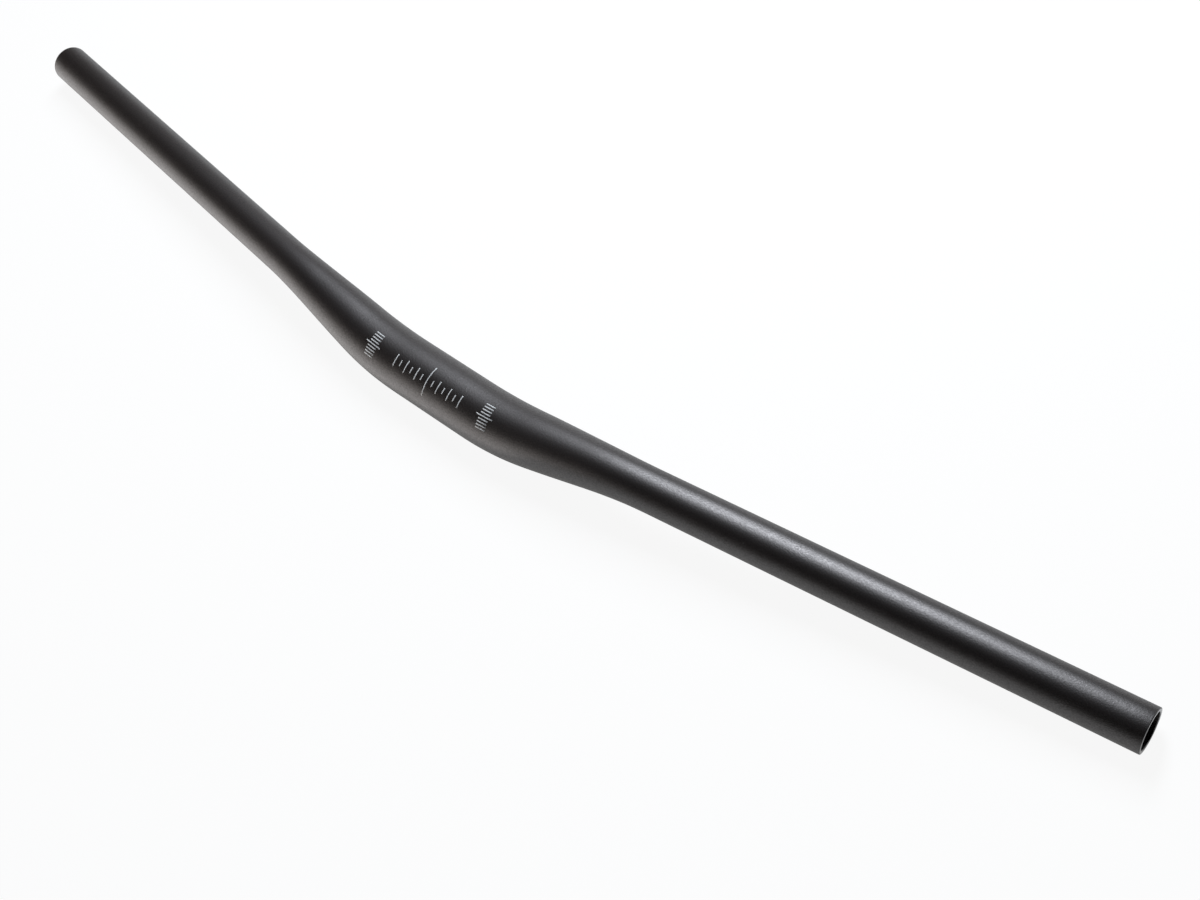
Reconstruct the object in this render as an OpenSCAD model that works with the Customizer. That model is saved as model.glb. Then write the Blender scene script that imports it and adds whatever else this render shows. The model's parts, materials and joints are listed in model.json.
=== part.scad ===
// Flat handlebar for a bicycle, 780 mm wide with a low rise.
//
// The real bar is one aluminium tube. It is drawn with a thick wall at the
// middle and a thinner one at the grips, swaged down from the clamp size to
// the grip size, bent twice on each side, blasted and anodised.
//
// Frame: the origin is the centre of the clamp zone and +X runs along its
// axis to the right-hand grip. The bar lies as it comes to rest on a flat
// surface, on both ends and on the belly of the clamp zone, with +Z up.
// The sweeps and the ramp are set for a mounted bar, where +Y points back to
// the rider and +Z up, and the whole bar is then rolled about X by lay_roll.

/* [Bar] */
// Width between the middles of the two ends
bar_width = 780; // [680:5:820]

/* [Clamp zone] */
// Outer diameter where the stem holds the bar
clamp_d = 31.8; // [28:0.1:35]
// Length of the straight, full-size zone at the middle
clamp_len = 50; // [36:1:80]
// Wall of the tube in the clamp zone
clamp_wall = 2.6; // [1.6:0.1:4]

/* [Grips] */
// Outer diameter of the straight grip ends
grip_d = 22.2; // [20:0.1:25.4]
// Wall of the tube along the grips
grip_wall = 1.9; // [1.2:0.1:3]
// Radius on the outer edge of each cut end
end_round = 0.4; // [0.1:0.1:0.8]
// Chamfer on the inner edge of each cut end
mouth_chamfer = 0.3; // [0.1:0.1:0.8]

/* [Bends] */
// Angle at which the ramp climbs out of the clamp zone
ramp_angle = 9.3; // [4:0.1:20]
// Straight length between the two bends
ramp_len = 39.5; // [10:0.5:90]
// Angle at which the grips point back
backsweep = 7; // [2:0.5:14]
// Angle at which the grips point up
upsweep = 4; // [0:0.5:8]
// Centre-line radius of the first bend, next to the clamp zone
inner_bend_r = 240; // [90:5:400]
// Centre-line radius of the second bend, next to the grip
outer_bend_r = 240; // [90:5:400]

/* [Taper] */
// How long the taper stays near the clamp size; 1 is even, more is later
taper_lean = 1.2; // [0.8:0.05:2]

/* [Fineness] */
// Sides of each ring along the taper
ring_sides = 40; // [24:4:48]
// Steps along each taper
taper_steps = 17; // [12:1:20]

/* [Hidden] */

clamp_r = clamp_d / 2;
grip_r = grip_d / 2;
half_clamp = clamp_len / 2;

// The taper's rings run this far into the straight tubes at both ends
lap = 0.5;
// and lie this far under the skins of those tubes, so that they join cleanly.
skin = 0.02;
// The grip's bore starts with a small cone of this length, which the lap fills
seam = lap / 2;

// Directions of the centre line: clamp zone, ramp and grip
clamp_dir = [1, 0, 0];
ramp_dir = [cos(ramp_angle), 0, sin(ramp_angle)];
grip_dir = unit([1, tan(backsweep), tan(upsweep)]);

// Angles and arc lengths of the two bends
inner_turn = turn(clamp_dir, ramp_dir);
outer_turn = turn(ramp_dir, grip_dir);
inner_bend_len = arc_length(inner_bend_r, inner_turn);
outer_bend_len = arc_length(outer_bend_r, outer_turn);
taper_len = inner_bend_len + ramp_len + outer_bend_len;

// Corners of the centre line, from the clamp zone outwards
clamp_end = [half_clamp, 0, 0];
ramp_start = clamp_end + bend_offset(clamp_dir, ramp_dir, inner_bend_r, inner_turn);
ramp_end = ramp_start + ramp_len * ramp_dir;
grip_start = ramp_end + bend_offset(ramp_dir, grip_dir, outer_bend_r, outer_turn);
grip_len = (bar_width / 2 - grip_start.x) / grip_dir.x;

// Middle of the rounded edge of the end, which is what touches the table
rim_centre = grip_start + (grip_len - end_round) * grip_dir;
rim_reach = norm([rim_centre.y, rim_centre.z]);
rim_bearing = atan2(rim_centre.y, rim_centre.z);
ROLL_STEPS = 6;
lay_roll = rest_roll(0, ROLL_STEPS);

function unit(v) = v / norm(v);
function turn(a, b) = acos(unit(a) * unit(b));
function arc_length(r, angle) = r * angle * PI / 180;
function arc_angle(r, length) = length / r * 180 / PI;

// Direction square to a, in the plane of the bend from a to b
function bend_normal(a, b) = unit(b - (a * b) * a);

// Displacement and heading after turning by an angle on the bend from a to b
function bend_offset(a, b, r, angle) =
    r * (sin(angle) * a + (1 - cos(angle)) * bend_normal(a, b));
function bend_heading(a, b, angle) =
    cos(angle) * a + sin(angle) * bend_normal(a, b);

// Point of the centre line at arc length s from the edge of the clamp zone
function line_point(s) =
    s <= 0 ? clamp_end + s * clamp_dir :
    s <= inner_bend_len
        ? clamp_end + bend_offset(clamp_dir, ramp_dir, inner_bend_r,
                                  arc_angle(inner_bend_r, s)) :
    s <= inner_bend_len + ramp_len
        ? ramp_start + (s - inner_bend_len) * ramp_dir :
    s <= taper_len
        ? ramp_end + bend_offset(ramp_dir, grip_dir, outer_bend_r,
                                 arc_angle(outer_bend_r, s - inner_bend_len - ramp_len)) :
    grip_start + (s - taper_len) * grip_dir;

// Heading of the centre line at arc length s
function line_heading(s) =
    s <= 0 ? clamp_dir :
    s <= inner_bend_len
        ? bend_heading(clamp_dir, ramp_dir, arc_angle(inner_bend_r, s)) :
    s <= inner_bend_len + ramp_len ? ramp_dir :
    s <= taper_len
        ? bend_heading(ramp_dir, grip_dir,
                       arc_angle(outer_bend_r, s - inner_bend_len - ramp_len)) :
    grip_dir;

// Share of the taper that is done at arc length s, eased at both ends
function taper_share(s) =
    let (u = pow(min(max(s / taper_len, 0), 1), taper_lean))
    u * u * (3 - 2 * u);
function outer_r(s) = clamp_r + (grip_r - clamp_r) * taper_share(s);
function wall(s) = clamp_wall + (grip_wall - clamp_wall) * taper_share(s);

// One ring of points round the centre line at arc length s
function ring(s, r) =
    let (p = line_point(s),
         t = line_heading(s),
         v = unit([0, 0, 1] - t.z * t),
         u = cross(v, t))
    [for (i = [0 : ring_sides - 1])
        let (a = 360 * i / ring_sides)
        p + r * (cos(a) * u + sin(a) * v)];

// Roll about X that brings the rim down to the level of the clamp's belly.
// The rim hangs below its centre by the round and by the tilted circle.
function rim_drop(roll) =
    let (slope = grip_dir.y * sin(roll) + grip_dir.z * cos(roll))
    end_round + (grip_r - end_round) * sqrt(1 - slope * slope);
function rest_roll(roll, steps) =
    steps == 0 ? roll :
    rest_roll(rim_bearing - acos((rim_drop(roll) - clamp_r) / rim_reach), steps - 1);

// Turns the Z axis to a direction
module along(dir) {
    rotate([0, acos(dir.z), atan2(dir.y, dir.x)]) children();
}

// Straight, full-size zone that the stem clamps
module clamp_zone() {
    rotate([0, 90, 0])
        rotate_extrude($fn = 96)
            translate([clamp_r - clamp_wall, -half_clamp])
                square([clamp_wall, clamp_len]);
}

// Bent and butted taper: an outer and an inner skin, closed at both ends
module bent_taper() {
    step = (taper_len + 2 * lap) / taper_steps;
    stations = [for (i = [0 : taper_steps]) i * step - lap];
    inner_scale = 1 / cos(180 / ring_sides);
    outer_rings = [for (s = stations) ring(s, outer_r(s) - skin)];
    inner_rings = [for (s = stations)
        ring(s, (outer_r(s) - wall(s) + skin) * inner_scale)];
    points = [for (r = outer_rings) each r, for (r = inner_rings) each r];
    inner_first = (taper_steps + 1) * ring_sides;

    function at(skin_first, i, j) = skin_first + i * ring_sides + j % ring_sides;
    outer_faces = [for (i = [0 : taper_steps - 1], j = [0 : ring_sides - 1])
        [at(0, i, j), at(0, i + 1, j), at(0, i + 1, j + 1), at(0, i, j + 1)]];
    inner_faces = [for (i = [0 : taper_steps - 1], j = [0 : ring_sides - 1])
        [at(inner_first, i, j), at(inner_first, i, j + 1),
         at(inner_first, i + 1, j + 1), at(inner_first, i + 1, j)]];
    end_faces = [for (j = [0 : ring_sides - 1]) each [
        [at(0, 0, j), at(0, 0, j + 1),
         at(inner_first, 0, j + 1), at(inner_first, 0, j)],
        [at(0, taper_steps, j), at(inner_first, taper_steps, j),
         at(inner_first, taper_steps, j + 1), at(0, taper_steps, j + 1)]]];
    polyhedron(points, concat(outer_faces, inner_faces, end_faces), convexity = 6);
}

// Straight grip tube with its rounded and chamfered mouth
module grip_tube() {
    bore_r = grip_r - grip_wall;
    edge = [for (a = [0 : 22.5 : 90])
        [grip_r - end_round * (1 - cos(a)), grip_len - end_round * (1 - sin(a))]];
    profile = concat(
        [[bore_r, seam], [bore_r + seam, 0], [grip_r, 0]],
        edge,
        [[bore_r + mouth_chamfer, grip_len], [bore_r, grip_len - mouth_chamfer]]);
    translate(grip_start)
        along(grip_dir)
            rotate_extrude($fn = 96) polygon(profile);
}

module handlebar() {
    color([0.12, 0.12, 0.13])
        rotate([lay_roll, 0, 0]) {
            clamp_zone();
            for (side = [0, 1])
                mirror([side, 0, 0]) {
                    bent_taper();
                    grip_tube();
                }
        }
}

handlebar();
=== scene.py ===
# %% [markdown]
# # A flat handlebar, from bare tube to studio picture
#
# The object is one aluminium tube. It is thick and wide in the middle, where the stem
# clamps it, and it tapers through two bends on each side to the straight grips. The
# finish is a blasted, black anodised skin. This lesson carries a round section along
# the tube's centre line, and then spends its effort on the finish and the light,
# because on a plain black tube these make the whole picture.

# %% Load the frame
import json

import bpy
import numpy as np
from mathutils import Matrix, Vector


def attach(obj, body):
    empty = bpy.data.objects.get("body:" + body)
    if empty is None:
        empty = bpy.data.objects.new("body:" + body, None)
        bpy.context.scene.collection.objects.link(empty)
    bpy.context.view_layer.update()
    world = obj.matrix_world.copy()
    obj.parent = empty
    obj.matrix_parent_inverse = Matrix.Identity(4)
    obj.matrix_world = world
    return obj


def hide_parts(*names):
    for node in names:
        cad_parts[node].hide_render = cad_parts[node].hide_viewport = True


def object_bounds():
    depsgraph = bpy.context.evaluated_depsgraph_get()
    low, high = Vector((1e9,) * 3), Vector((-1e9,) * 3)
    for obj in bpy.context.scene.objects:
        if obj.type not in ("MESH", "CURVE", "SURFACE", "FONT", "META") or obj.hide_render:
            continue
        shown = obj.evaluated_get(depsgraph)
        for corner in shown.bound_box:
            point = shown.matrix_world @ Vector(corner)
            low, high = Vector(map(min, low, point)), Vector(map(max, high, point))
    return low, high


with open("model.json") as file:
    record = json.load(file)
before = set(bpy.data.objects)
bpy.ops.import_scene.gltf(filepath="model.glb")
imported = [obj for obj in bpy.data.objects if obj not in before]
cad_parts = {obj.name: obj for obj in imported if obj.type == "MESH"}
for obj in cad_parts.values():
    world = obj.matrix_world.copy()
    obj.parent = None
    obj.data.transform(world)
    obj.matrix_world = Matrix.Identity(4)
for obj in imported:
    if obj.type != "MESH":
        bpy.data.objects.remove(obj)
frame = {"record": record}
frame_low, frame_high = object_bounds()
print("frame box", [round(v, 4) for v in (*frame_low, *frame_high)])

# %% [markdown]
# ## Sizes from the frame
#
# The frame's mounts say where a stem, the grips and the end plugs go, so they give the
# true diameters, and the grip's wall, direction and length. Only what no mount tells is
# written here: the clamp's wall, the bends, the sweeps, the lean of the taper and the
# small edges of the cut ends.

# %% Read the mounts
mounts = {mount["name"]: mount for mount in frame["record"]["mounts"]}
MM = 0.001
clamp_r = mounts["stem_clamp"]["dims"]["r_mm"] * MM
half_clamp = mounts["stem_clamp"]["dims"]["length_mm"] * MM / 2
grip_r = mounts["right_grip"]["dims"]["r_mm"] * MM
grip_bore_r = mounts["right_end_bore"]["dims"]["r_mm"] * MM
grip_wall = grip_r - grip_bore_r
straight_grip = mounts["right_grip"]["dims"]["length_mm"] * MM
grip_middle = np.array(mounts["right_grip"]["pos_m"])
grip_dir = np.array(mounts["right_grip"]["axis"])
grip_dir /= np.linalg.norm(grip_dir)
print(f"clamp {2 * clamp_r:.4f} m, grip {2 * grip_r:.4f} m, wall {grip_wall:.4f} m")

# %% Sizes that no mount tells
clamp_wall = 2.6 * MM
end_round = 0.4 * MM
mouth_chamfer = 0.3 * MM
bend_r = 240 * MM
ramp_len = 39.5 * MM
ramp_angle = np.radians(9.3)
backsweep = np.radians(7)
upsweep = np.radians(4)
taper_lean = 1.2
print(f"wall at the clamp {clamp_wall:.4f} m, bend radius {bend_r:.3f} m")

# %% [markdown]
# ## The centre line
#
# The real bar is bent twice on each side over round formers: first up, out of the
# clamp zone, then back towards the rider. So the line is an arc, a short straight
# ramp, an arc and the long grip. Each stretch could be a curve object, but a formula
# gives a point and a heading at any length along the bar, which the sweep needs.
# The bar lies rolled over on the table, and the roll is read off the frame: it takes
# the sweeps of a mounted bar to the direction in which the frame's grip points.

# %% Headings of the three stretches
def unit(v):
    """The vector divided by its length."""
    return v / np.linalg.norm(v)


swept = unit(np.array([1, np.tan(backsweep), np.tan(upsweep)]))
lay_roll = np.arctan2(grip_dir[2], grip_dir[1]) - np.arctan2(swept[2], swept[1])
clamp_dir = np.array([1.0, 0.0, 0.0])
ramp_dir = np.array([
    np.cos(ramp_angle),
    -np.sin(ramp_angle) * np.sin(lay_roll),
    np.sin(ramp_angle) * np.cos(lay_roll),
])
inner_turn = np.arccos(clamp_dir @ ramp_dir)
outer_turn = np.arccos(ramp_dir @ grip_dir)
inner_len = bend_r * inner_turn
outer_len = bend_r * outer_turn
taper_len = inner_len + ramp_len + outer_len
half_len = half_clamp + taper_len + straight_grip + end_round
print(f"roll {np.degrees(lay_roll):.2f} deg, taper {taper_len:.4f} m, half {half_len:.4f} m")


# %% Points and headings along the bar
def bend_offset(start_dir, end_dir, angle):
    """Displacement on a bend: r sin(angle) ahead and r (1 - cos(angle)) to its inside."""
    inside = unit(end_dir - (start_dir @ end_dir) * start_dir)
    return bend_r * (np.outer(np.sin(angle), start_dir) + np.outer(1 - np.cos(angle), inside))


def bend_heading(start_dir, end_dir, angle):
    """Heading on a bend: cos(angle) of the first heading plus sin(angle) of the inside."""
    inside = unit(end_dir - (start_dir @ end_dir) * start_dir)
    return np.outer(np.cos(angle), start_dir) + np.outer(np.sin(angle), inside)


def along_bar(signed_len):
    """Points and headings at signed lengths from the bar's middle.

    Each stretch adds the part of it that has been passed: the clamp zone, the first
    bend, the ramp, the second bend and the grip. The left side is the right side's
    mirror image, and its headings are turned to keep pointing to the right.
    """
    side = np.where(signed_len < 0, -1.0, 1.0)
    s = np.abs(signed_len) - half_clamp
    in_first = np.clip(s, 0, inner_len) / bend_r
    on_ramp = np.clip(s - inner_len, 0, ramp_len)
    in_second = np.clip(s - inner_len - ramp_len, 0, outer_len) / bend_r
    on_grip = np.maximum(s - taper_len, 0)
    points = (
        np.outer(half_clamp + np.minimum(s, 0), clamp_dir)
        + bend_offset(clamp_dir, ramp_dir, in_first)
        + np.outer(on_ramp, ramp_dir)
        + bend_offset(ramp_dir, grip_dir, in_second)
        + np.outer(on_grip, grip_dir)
    )
    before_second = (s < inner_len + ramp_len)[:, None]
    headings = np.where(
        before_second,
        bend_heading(clamp_dir, ramp_dir, in_first),
        bend_heading(ramp_dir, grip_dir, in_second),
    )
    points[:, 0] *= side
    headings[:, 1:] *= side[:, None]
    return points, headings


end_point, end_heading = along_bar(np.array([half_len]))
print("right end", end_point.round(4), "heading", end_heading.round(4))
line_middle, _ = along_bar(np.array([half_clamp + taper_len + straight_grip / 2]))
off_middle = np.linalg.norm(line_middle - grip_middle)
print(f"the line passes {off_middle / MM:.3f} mm from the middle of the frame's grip")

# %% [markdown]
# ## The butted taper
#
# The tube is swaged from the clamp size down to the grip size, and its wall gets
# thinner along the same stretch. Both follow one eased share, which stays near the
# clamp size for a while and then falls faster, as a swaging die makes it.


# %% Radii along the bar
def taper_share(signed_len):
    """u squared times (3 - 2 u), with u the share of the taper passed to the power of the lean."""
    u = np.clip((np.abs(signed_len) - half_clamp) / taper_len, 0, 1) ** taper_lean
    return u * u * (3 - 2 * u)


def outer_radius(signed_len):
    """Clamp radius, less the step to the grip radius times the taper's share."""
    return clamp_r + (grip_r - clamp_r) * taper_share(signed_len)


def bore_radius(signed_len):
    """Outer radius less the wall, which goes from the clamp's wall to the grip's."""
    wall = clamp_wall + (grip_wall - clamp_wall) * taper_share(signed_len)
    return outer_radius(signed_len) - wall


taper_middle = np.array([half_clamp + taper_len / 2])
print("radii at the middle of the taper", outer_radius(taper_middle), bore_radius(taper_middle))

# %% [markdown]
# ## The tube's skin as one closed loop
#
# A tube with a wall is a ring-shaped surface. The profile runs along the outside from
# left to right, round the right-hand edge, back through the bore and round the left
# edge. A Solidify modifier on an open tube would give square ends, and the fine round
# on the real cut edge is what catches the light, so the whole loop is written out.


# %% Stations, close together where the bar bends
CLAMP_STEPS, BEND_STEPS, GRIP_STEPS, EDGE_STEPS = 8, 72, 33, 8


def stations(reach):
    """Lengths from minus reach to reach: even steps in the bends, longer ones in the straights."""
    bend_end = half_clamp + taper_len
    clamp_part = np.linspace(0, half_clamp, CLAMP_STEPS, endpoint=False)
    bend_part = np.linspace(half_clamp, bend_end, BEND_STEPS, endpoint=False)
    grip_part = np.linspace(bend_end, reach, GRIP_STEPS + 1)
    right = np.concatenate([clamp_part, bend_part, grip_part])
    return np.concatenate([-right[:0:-1], right])


outer_s = stations(half_len - end_round)
bore_s = stations(half_len - mouth_chamfer)[::-1]
edge_turn = np.linspace(0, np.pi / 2, EDGE_STEPS + 1)[1:]
edge_s = half_len - end_round * (1 - np.sin(edge_turn))
edge_r = grip_r - end_round * (1 - np.cos(edge_turn))
mouth_s = np.array([half_len])
mouth_r = np.array([grip_bore_r + mouth_chamfer])
profile_s = np.concatenate([
    outer_s, edge_s, mouth_s, bore_s, -mouth_s, -edge_s[::-1],
])
profile_r = np.concatenate([
    outer_radius(outer_s), edge_r, mouth_r, bore_radius(bore_s), mouth_r, edge_r[::-1],
])
print(f"{len(profile_s)} rings")

# %% [markdown]
# Every ring needs two directions square to the heading. One is the world's up with
# its part along the heading taken out, the other is their cross product. The bar never
# points straight up, so these turn smoothly and the rings don't twist.


# %% Rings and faces
def ring_axes(headings):
    """Up without its part along the heading, at unit length, and heading's cross with it."""
    up = np.array([0.0, 0.0, 1.0])
    raised = up - headings * headings[:, 2:]
    raised /= np.linalg.norm(raised, axis=1, keepdims=True)
    return np.cross(raised, headings), raised


def swept_points(signed_len, radii, angles):
    """Centre plus radius times (cos of the angle sideways plus sin of the angle up)."""
    centres, headings = along_bar(signed_len)
    sideways, raised = ring_axes(headings)
    spoke = (
        np.cos(angles)[None, :, None] * sideways[:, None, :]
        + np.sin(angles)[None, :, None] * raised[:, None, :]
    )
    return centres[:, None, :] + radii[:, None, None] * spoke


def closed_grid_faces(rows, columns):
    """Four corners of each face of a grid that closes on itself both ways."""
    row, column = np.meshgrid(np.arange(rows), np.arange(columns), indexing="ij")
    next_row = (row + 1) % rows
    next_column = (column + 1) % columns
    corners = [
        row * columns + column,
        row * columns + next_column,
        next_row * columns + next_column,
        next_row * columns + column,
    ]
    return np.stack(corners, axis=-1).reshape(-1, 4)


print("a closed grid of 3 rings with 4 sides has", len(closed_grid_faces(3, 4)), "faces")


# %% Put arrays into a mesh
def mesh_from_arrays(name, points, faces):
    """A mesh object at the origin from a list of points and four-cornered faces."""
    mesh = bpy.data.meshes.new(name)
    mesh.vertices.add(len(points))
    mesh.vertices.foreach_set("co", points.astype(np.float32).ravel())
    mesh.loops.add(faces.size)
    mesh.loops.foreach_set("vertex_index", faces.astype(np.int32).ravel())
    mesh.polygons.add(len(faces))
    mesh.polygons.foreach_set("loop_start", np.arange(0, faces.size, 4, dtype=np.int32))
    mesh.update(calc_edges=True)
    mesh.validate()
    piece = bpy.data.objects.new(name, mesh)
    bpy.context.scene.collection.objects.link(piece)
    return piece


# %% Build the tube
SIDES = 144
SHARP_EDGE = np.radians(30)
ring_angles = np.linspace(0, 2 * np.pi, SIDES, endpoint=False)
tube_points = swept_points(profile_s, profile_r, ring_angles)
tube_faces = closed_grid_faces(len(profile_s), SIDES)
tube = mesh_from_arrays("bar_tube", tube_points.reshape(-1, 3), tube_faces)
tube.data.shade_smooth()
tube.data.set_sharp_from_angle(angle=SHARP_EDGE)
print("tube", len(tube.data.polygons), "faces")

# %% [markdown]
# ## The marks at the clamp
#
# A laser bleaches the black skin to a pale grey, so that the bar can be centred in the
# stem and turned to the same angle again. The marks could be painted by the material,
# but real geometry stays sharp at any distance: each is a thin plate that follows
# the round of the clamp zone and stands a few hundredths of a millimetre proud.

# %% Layout of the marks
mark_proud = 0.03 * MM
mark_sunk = 0.05 * MM
marks_bearing = np.radians(22)
line_width = 0.6 * MM
centre_height = 17 * MM
ticks_a_side = 6
tick_gap, short_tick, long_tick = 4 * MM, 3.5 * MM, 7 * MM
ladder_place = 42 * MM
rungs_each_way = 4
rung_turn = np.radians(6)
short_rung, long_rung = 6.5 * MM, 11 * MM

centre_line = [(0, 0, line_width, centre_height)]
ruler = [
    (side * step * tick_gap, 0, line_width, long_tick if step % 2 == 0 else short_tick)
    for side in (-1, 1)
    for step in range(1, ticks_a_side + 1)
]
ladder_rungs = [
    (side * ladder_place, rung * rung_turn, long_rung if rung == 0 else short_rung, line_width)
    for side in (-1, 1)
    for rung in range(-rungs_each_way, rungs_each_way + 1)
]
marks = np.array(centre_line + ruler + ladder_rungs)
print(len(marks), "marks")

# %% [markdown]
# Each row of the layout is one mark: its middle along the bar and round it, its width
# and its height. A plate is laid out flat in these measures, and each of its points is
# then lifted onto the skin. So a mark follows the bend and the taper where it lies on
# them, and it can't float or sink.


# %% Build the marks
ACROSS, ROUND = 4, 13


def on_skin(signed_len, bearing, lift):
    """Centre of the ring plus (outer radius plus lift) times the spoke at that bearing from up."""
    flat_len = signed_len.ravel()
    centres, headings = along_bar(flat_len)
    sideways, raised = ring_axes(headings)
    turn = bearing.reshape(-1, 1)
    spoke = np.cos(turn) * raised - np.sin(turn) * sideways
    reach = outer_radius(flat_len) + lift.ravel()
    return centres + reach[:, None] * spoke


def curved_plates(rows):
    """Points of thin plates: a grid across each, once proud of the skin and once under it."""
    along, turn, width, height = (column[:, None, None, None] for column in rows.T)
    shape = (len(rows), 2, ACROSS, ROUND)
    across = np.linspace(-0.5, 0.5, ACROSS)[None, None, :, None]
    around = np.linspace(-0.5, 0.5, ROUND)[None, None, None, :]
    signed_len = np.broadcast_to(along + width * across, shape)
    bearing = np.broadcast_to(marks_bearing + turn + height / clamp_r * around, shape)
    skin = np.array([mark_proud, -mark_sunk])[None, :, None, None]
    return on_skin(signed_len, bearing, np.broadcast_to(skin, shape))


def plate_faces(count):
    """Faces of one plate, repeated: proud skin, sunk skin turned over, and walls at its rim."""
    grid = np.arange(ACROSS * ROUND).reshape(ACROSS, ROUND)
    sunk = ACROSS * ROUND
    low, right, both, up = grid[:-1, :-1], grid[1:, :-1], grid[1:, 1:], grid[:-1, 1:]
    proud_faces = np.stack([low, up, both, right], axis=-1).reshape(-1, 4)
    sunk_faces = proud_faces[:, ::-1] + sunk
    rim = np.concatenate([grid[:, 0], grid[-1, 1:], grid[-2::-1, -1], grid[0, -2:0:-1]])
    onward = np.roll(rim, -1)
    walls = np.stack([rim, rim + sunk, onward + sunk, onward], axis=-1)[:, ::-1]
    one = np.concatenate([proud_faces, sunk_faces, walls])
    return (one[None] + (np.arange(count) * 2 * sunk)[:, None, None]).reshape(-1, 4)


clamp_marks = mesh_from_arrays("clamp_marks", curved_plates(marks), plate_faces(len(marks)))
print("marks", len(clamp_marks.data.polygons), "faces")

# %% [markdown]
# ## Black anodised, blasted aluminium
#
# Glass beads pit the metal before it is anodised, so the skin is matt with a fine
# sparkle, and the dyed oxide on it is nearly black. The oxide bends light more than
# plastic does, which gives the stronger sheen. A photographed texture would need a
# flat layout of the tube, and a noise in the object's own coordinates needs none. One
# noise stands for the depth of the pits, and it drives four things together: a deep
# spot is rough, tips the normal, and gives back little light of any kind.


# %% Small helpers for node trees
def new_material(name):
    """A node material with its Principled shader."""
    material = bpy.data.materials.new(name)
    material.use_nodes = True
    return material, material.node_tree, material.node_tree.nodes["Principled BSDF"]


def object_noise(tree, scale, detail, roughness=0.5):
    """A noise in the object's own coordinates, so that it stays on the surface."""
    place = tree.nodes.new("ShaderNodeTexCoord")
    noise = tree.nodes.new("ShaderNodeTexNoise")
    noise.inputs["Scale"].default_value = scale
    noise.inputs["Detail"].default_value = detail
    noise.inputs["Roughness"].default_value = roughness
    tree.links.new(place.outputs["Object"], noise.inputs["Vector"])
    return noise


def remap(tree, value, low, high, to_low, to_high):
    """A straight line from low..high to to_low..to_high, held at its ends."""
    node = tree.nodes.new("ShaderNodeMapRange")
    for name, number in (
        ("From Min", low), ("From Max", high), ("To Min", to_low), ("To Max", to_high),
    ):
        node.inputs[name].default_value = number
    tree.links.new(value, node.inputs["Value"])
    return node.outputs["Result"]


def colour_mix(tree, share, first, second):
    """One less the share times the first colour, plus the share times the second.

    Either colour is three numbers or the output of another node.
    """
    mix = tree.nodes.new("ShaderNodeMix")
    mix.data_type = "RGBA"
    tree.links.new(share, mix.inputs["Factor"])
    for name, colour in (("A", first), ("B", second)):
        if isinstance(colour, tuple):
            mix.inputs[name].default_value = (*colour, 1)
        else:
            tree.links.new(colour, mix.inputs[name])
    return mix.outputs["Result"]


# %% [markdown]
# A black tube in a studio is never quite clean. Specks could be small meshes, but they
# are too fine to cast a shadow. A Voronoi texture scatters points through space, and a
# small ball round a few of them turns pale where the skin cuts it.


# %% Specks of dust
CELLS_PER_METRE = 150
SPECK_CORE, SPECK_RIM = 0.02, 0.035
DUSTY_FROM, DUSTY_ALL = 0.70, 0.72


def product(tree, first, second):
    """The first value times the second."""
    node = tree.nodes.new("ShaderNodeMath")
    node.operation = "MULTIPLY"
    tree.links.new(first, node.inputs[0])
    tree.links.new(second, node.inputs[1])
    return node.outputs["Value"]


def dust_specks(tree):
    """One near a cell's point, in cells whose own random grey is high enough, and else nought."""
    place = tree.nodes.new("ShaderNodeTexCoord")
    cells = tree.nodes.new("ShaderNodeTexVoronoi")
    cells.inputs["Scale"].default_value = CELLS_PER_METRE
    tree.links.new(place.outputs["Object"], cells.inputs["Vector"])
    near = remap(tree, cells.outputs["Distance"], SPECK_CORE, SPECK_RIM, 1, 0)
    chosen = remap(tree, cells.outputs["Color"], DUSTY_FROM, DUSTY_ALL, 0, 1)
    return product(tree, near, chosen)


print(f"a speck is up to {SPECK_RIM / CELLS_PER_METRE / MM:.2f} mm in radius")


# %% The black skin
def black_anodised():
    """Dyed oxide over blasted metal: near black, matt, with a fine sparkle and a little dust."""
    material, tree, shader = new_material("black_anodised")
    shader.inputs["IOR"].default_value = 1.84
    pits = object_noise(tree, 1300, 2, 0.7)
    crest = remap(tree, pits.outputs["Fac"], 0.3, 0.7, 0, 1)
    tree.links.new(remap(tree, crest, 0, 1, 0.49, 0.38), shader.inputs["Roughness"])
    bump = tree.nodes.new("ShaderNodeBump")
    bump.inputs["Strength"].default_value = 1.0
    bump.inputs["Distance"].default_value = 0.08 * MM
    tree.links.new(pits.outputs["Fac"], bump.inputs["Height"])
    tree.links.new(bump.outputs["Normal"], shader.inputs["Normal"])
    sparkle = colour_mix(tree, crest, (0.68, 0.645, 0.63), (1.0, 0.955, 0.94))
    tree.links.new(sparkle, shader.inputs["Specular Tint"])
    dye = colour_mix(tree, crest, (0.0012, 0.0008, 0.0006), (0.0098, 0.0062, 0.0056))
    dusty = colour_mix(tree, dust_specks(tree), dye, (0.30, 0.29, 0.27))
    tree.links.new(dusty, shader.inputs["Base Color"])
    return material


skin = black_anodised()
print(skin.name, "has", len(skin.node_tree.nodes), "nodes")

# %% [markdown]
# The ends are turned square on a lathe and then take the same black oxide, so they
# have no pits. Seen at a low angle, such a smooth face mirrors the white paper and looks
# pale. The marks are bleached by a laser, which leaves a chalky, slightly uneven grey.
# Both are too small to need a pattern of their own, and one noise is enough for each.


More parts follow.
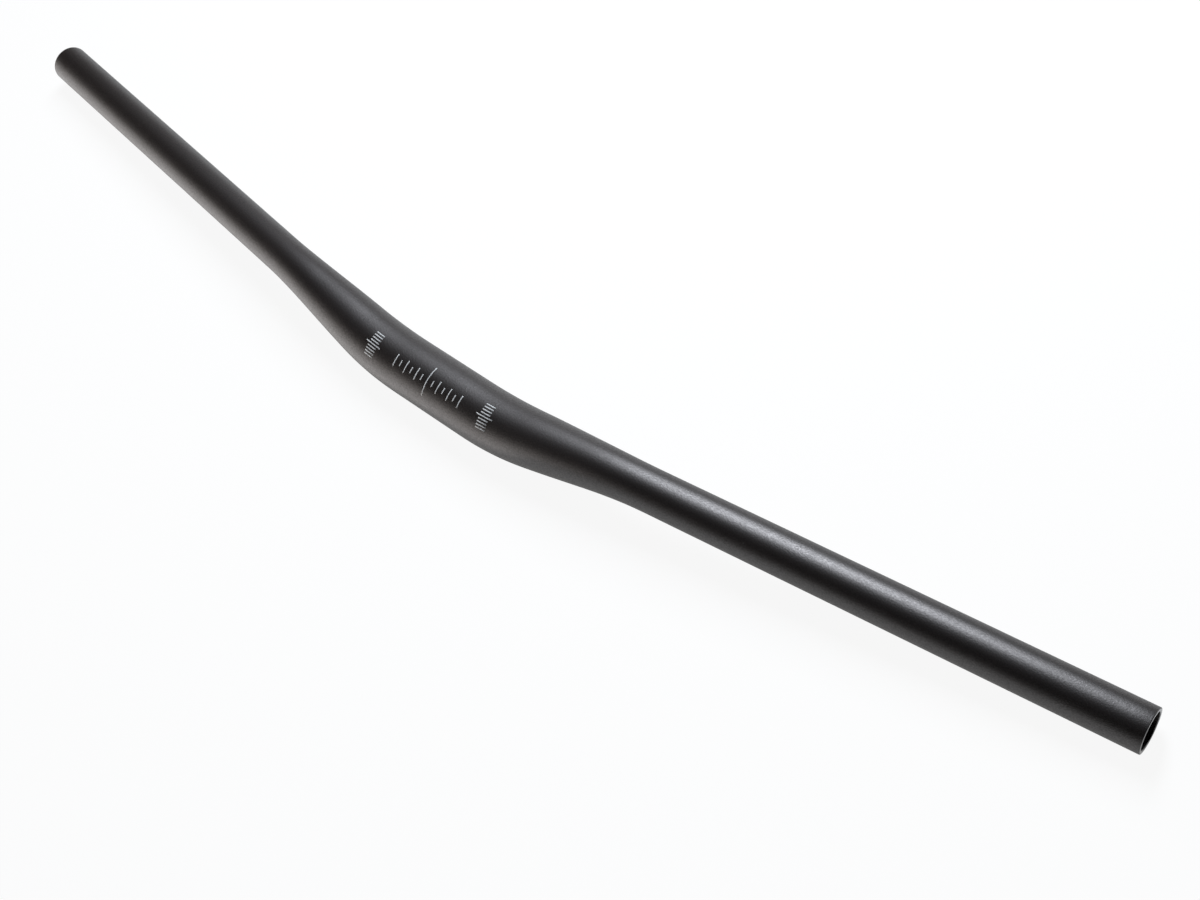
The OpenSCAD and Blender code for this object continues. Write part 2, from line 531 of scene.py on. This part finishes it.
# %% The cut ends and the marks
def turned_end():
    """The same black oxide over a face turned square: smoother, with no pits."""
    material, tree, shader = new_material("turned_end")
    shader.inputs["Base Color"].default_value = (0.0052, 0.0040, 0.0038, 1)
    shader.inputs["IOR"].default_value = 1.84
    lines = object_noise(tree, 2600, 2)
    rough = remap(tree, lines.outputs["Fac"], 0.3, 0.7, 0.14, 0.22)
    tree.links.new(rough, shader.inputs["Roughness"])
    return material


def bleached_skin():
    """Laser-bleached oxide: pale grey, matt and a little uneven."""
    material, tree, shader = new_material("bleached_skin")
    cloud = object_noise(tree, 2200, 2)
    ramp = tree.nodes.new("ShaderNodeValToRGB")
    ramp.color_ramp.elements[0].position = 0.3
    ramp.color_ramp.elements[0].color = (0.46, 0.46, 0.45, 1)
    ramp.color_ramp.elements[1].position = 0.7
    ramp.color_ramp.elements[1].color = (0.62, 0.62, 0.61, 1)
    tree.links.new(cloud.outputs["Fac"], ramp.inputs["Fac"])
    tree.links.new(ramp.outputs["Color"], shader.inputs["Base Color"])
    shader.inputs["Roughness"].default_value = 0.6
    return material


end_finish = turned_end()
mark_finish = bleached_skin()
print("finishes", end_finish.name, mark_finish.name)

# %% Put the finishes on
tube.data.materials.append(skin)
tube.data.materials.append(end_finish)
row_of_face = np.arange(len(tube_faces)) // SIDES
right_cut = len(outer_s) + len(edge_s) - 1
left_cut = len(profile_s) - len(edge_s) - 1
is_cut = np.isin(row_of_face, [right_cut, right_cut + 1, left_cut - 1, left_cut])
tube.data.polygons.foreach_set("material_index", is_cut.astype(np.int32))
clamp_marks.data.materials.append(mark_finish)
print(int(is_cut.sum()), "faces are turned square")

# %% [markdown]
# The swept tube is the same bar as the frame's plain solid, within 0.1 mm, with finer
# rings. It stands in the solid's place, and both pieces ride on the only body there is.

# %% Take the place of the plain solid
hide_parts("handlebar")
for piece in (tube, clamp_marks):
    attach(piece, "root")
print("the tube and its marks ride on root")

# %% [markdown]
# ## The table
#
# The bar lies on white paper. Paper that is lit as strongly as the bar comes out a
# little grey, and the usual remedy, more light, would bleach the bar as well. So for
# the camera, and for what the bar mirrors, the paper is mixed with plain white of
# strength 1, and its own lit surface keeps a part of the bar's shadow. Far from the bar
# the camera's mix goes over to all white, so that no horizon shows.

# %% Table
SEEN_WHITE = 0.92
MIRRORED_WHITE = 0.6
WHITE_STARTS, ALL_WHITE = 0.7, 2.5
TABLE_SIZE = 60
table_z = frame_low[2]
bpy.ops.mesh.primitive_plane_add(size=TABLE_SIZE, location=(0, 0, table_z))
table = bpy.context.object
table.name = "table"


def larger(tree, first, second):
    """The larger of two values."""
    node = tree.nodes.new("ShaderNodeMath")
    node.operation = "MAXIMUM"
    tree.links.new(first, node.inputs[0])
    tree.links.new(second, node.inputs[1])
    return node.outputs["Value"]


def white_table():
    """White paper, mixed with plain white for what the camera and reflections see."""
    material, tree, shader = new_material("white_table")
    shader.inputs["Base Color"].default_value = (0.92, 0.92, 0.91, 1)
    shader.inputs["Roughness"].default_value = 0.9
    shader.inputs["Specular IOR Level"].default_value = 0.0
    glow = tree.nodes.new("ShaderNodeEmission")
    glow.inputs["Color"].default_value = (1, 1, 1, 1)
    glow.inputs["Strength"].default_value = 1.0
    place = tree.nodes.new("ShaderNodeTexCoord")
    distance = tree.nodes.new("ShaderNodeVectorMath")
    distance.operation = "LENGTH"
    tree.links.new(place.outputs["Object"], distance.inputs[0])
    seen_white = remap(tree, distance.outputs["Value"], WHITE_STARTS, ALL_WHITE, SEEN_WHITE, 1)
    path = tree.nodes.new("ShaderNodeLightPath")
    seen = product(tree, path.outputs["Is Camera Ray"], seen_white)
    mirrored = larger(tree, path.outputs["Is Glossy Ray"], path.outputs["Is Transmission Ray"])
    share = larger(tree, seen, remap(tree, mirrored, 0, 1, 0, MIRRORED_WHITE))
    mix = tree.nodes.new("ShaderNodeMixShader")
    tree.links.new(share, mix.inputs["Fac"])
    tree.links.new(shader.outputs["BSDF"], mix.inputs[1])
    tree.links.new(glow.outputs["Emission"], mix.inputs[2])
    tree.links.new(mix.outputs["Shader"], tree.nodes["Material Output"].inputs["Surface"])
    return material


table.data.materials.append(white_table())
print(f"table at {table_z:.4f} m")

# %% [markdown]
# ## The studio light
#
# On a matt black tube the lights are the picture: each shows as one soft streak. The
# key is a tall strip behind the bar and well above it. It gives the bright sheen on the
# upper side of the right arm, and as it is narrow the sheen fades out towards the left
# arm. The other is a white card in front of the left arm, with its near edge just above
# the table and its far edge propped up. It lifts the arm's lower side out of the black.
# Both could be glowing meshes, but area lights give less noise, and the camera needn't
# see them.


# %% Lights
def soft_light(name, place, aim, size, watts, colour):
    """A rectangular area light at a place, turned to face a point."""
    lamp = bpy.data.lights.new(name, "AREA")
    lamp.shape = "RECTANGLE"
    lamp.size, lamp.size_y = size
    lamp.energy = watts
    lamp.color = colour
    holder = bpy.data.objects.new(name, lamp)
    holder.location = place
    holder.visible_camera = False
    holder.rotation_euler = (Vector(aim) - Vector(place)).to_track_quat("-Z", "Y").to_euler()
    bpy.context.scene.collection.objects.link(holder)
    print(f"{name}: {watts} W over {size[0]} x {size[1]} m")


COOL, WARM = (0.86, 0.92, 1.0), (1.0, 0.95, 0.92)
soft_light("back_strip", (-0.185, 0.655, 0.935), (0, 0, 0), (0.32, 0.76), 19.8, COOL)
soft_light("front_card", (-0.375, -0.174, 0.055), (-0.325, 0.141, 1.010), (0.80, 0.42), 1.25, WARM)

# %% [markdown]
# ## The room
#
# The rest of the room is dim. Its left wall glows a little, warm and low down, and
# overhead it is black: the black ceiling is what makes the deep core of shade along
# the bar. The table's paper runs up into a low white backdrop, which the bar mirrors
# as it mirrors the table. The camera sees plain white in place of the whole room.

# %% Room
WALL_GLOW = 0.32
WALL_TOP = 0.57
WALL_SIDE = (-0.986, -0.168, 0)
WALL_COLOUR, WHITE = (1.0, 0.84, 0.74), (1.0, 1.0, 1.0)
BACKDROP_FADE, BACKDROP_TOP = 0.03, 0.05


def dim_room(room):
    """White for the camera and low down for mirrored rays, and else the warm wall's glow.

    The glow is the wall's strength, times the share of the way down from its top, times
    the cosine of the angle to its side.
    """
    direction = room.nodes.new("ShaderNodeTexCoord")
    height = room.nodes.new("ShaderNodeSeparateXYZ")
    room.links.new(direction.outputs["Generated"], height.inputs["Vector"])
    towards_wall = room.nodes.new("ShaderNodeVectorMath")
    towards_wall.operation = "DOT_PRODUCT"
    towards_wall.inputs[1].default_value = WALL_SIDE
    room.links.new(direction.outputs["Generated"], towards_wall.inputs[0])
    low_down = remap(room, height.outputs["Z"], 0, WALL_TOP, 1, 0)
    facing = remap(room, towards_wall.outputs["Value"], 0, 1, 0, WALL_GLOW)
    ray = room.nodes.new("ShaderNodeLightPath")
    mirrored = larger(room, ray.outputs["Is Glossy Ray"], ray.outputs["Is Transmission Ray"])
    backdrop = remap(room, height.outputs["Z"], BACKDROP_FADE, BACKDROP_TOP, 1, 0)
    white = larger(room, ray.outputs["Is Camera Ray"], product(room, mirrored, backdrop))
    strength = larger(room, white, product(room, low_down, facing))
    colour = colour_mix(room, white, WALL_COLOUR, WHITE)
    room.links.new(strength, room.nodes["Background"].inputs["Strength"])
    room.links.new(colour, room.nodes["Background"].inputs["Color"])


world = bpy.data.worlds.new("studio")
world.use_nodes = True
dim_room(world.node_tree)
bpy.context.scene.world = world
print("room glows", WALL_GLOW, "at the left wall")

# %% [markdown]
# ## The camera
#
# The view is from the right and well above the bar, with the camera tilted in the hand
# by some 26 degrees. Its lens is a little longer than a standard one, at just under a
# metre. A camera could be turned by three angles, but where it stands, what it looks at
# and how far it is tilted are easier to read and to change one by one.

# %% Camera
camera_place = Vector((0.57494, -0.22241, 0.77335))
camera_aim = Vector((0.08635, 0.02217, -0.01590))
camera_roll = np.radians(-26.036)
focal_mm, sensor_mm = 57.104, 36
lens = bpy.data.cameras.new("camera")
lens.sensor_width = sensor_mm
lens.lens = focal_mm
camera = bpy.data.objects.new("camera", lens)
level = (camera_aim - camera_place).to_track_quat("-Z", "Y").to_matrix()
turned = level @ Matrix.Rotation(camera_roll, 3, "Z")
camera.matrix_world = Matrix.Translation(camera_place) @ turned.to_4x4()
bpy.context.scene.collection.objects.link(camera)
bpy.context.scene.camera = camera
bpy.context.scene.view_settings.view_transform = "Standard"
print(f"camera {(camera_aim - camera_place).length:.3f} m from its aim, lens {focal_mm} mm")

# %% Update the scene
bpy.context.view_layer.update()
